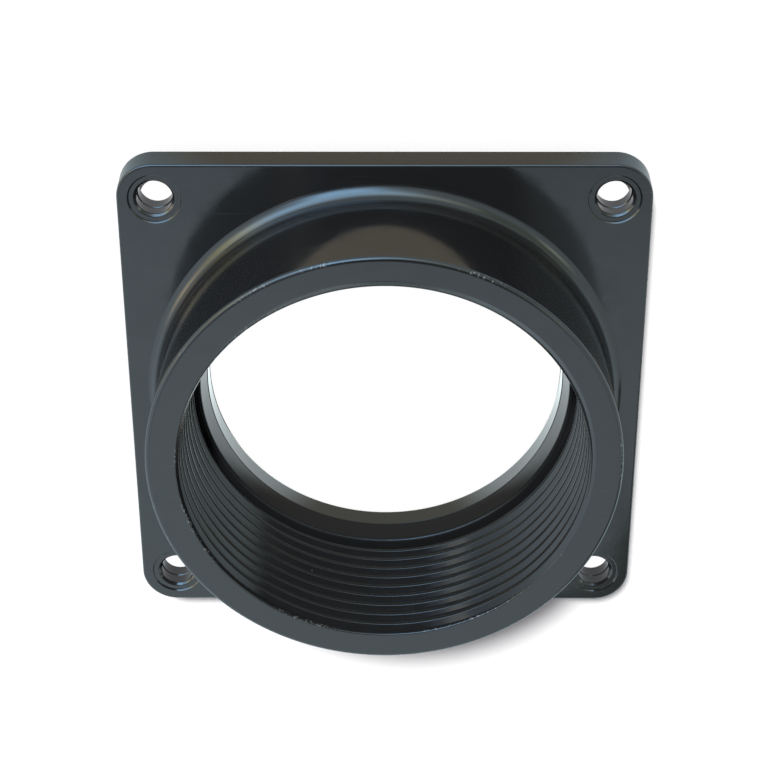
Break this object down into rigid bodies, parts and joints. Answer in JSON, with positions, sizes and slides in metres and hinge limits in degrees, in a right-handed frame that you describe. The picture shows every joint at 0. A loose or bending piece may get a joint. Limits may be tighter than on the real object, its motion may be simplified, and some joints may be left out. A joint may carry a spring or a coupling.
{
  "type": "pipe flange",
  "caption": "Square moulded plastic pipe flange: a flat plate with a bolt hole at each corner and a round collar with a tapered female pipe thread, for bolting a threaded pipe to a flat face.",
  "frame": {"origin": "centre of the bore at the end face of the lip behind the plate, which is what the flange lies on", "axes": "+Z along the bore axis towards the threaded mouth; X and Y along the plate's edges"},
  "size_m": [0.109, 0.109, 0.0396],
  "materials": {
    "black_abs": "half-gloss moulded black ABS"
  },
  "bodies": {
    "root": {"flange_body": "black_abs"}
  },
  "joints": []
}
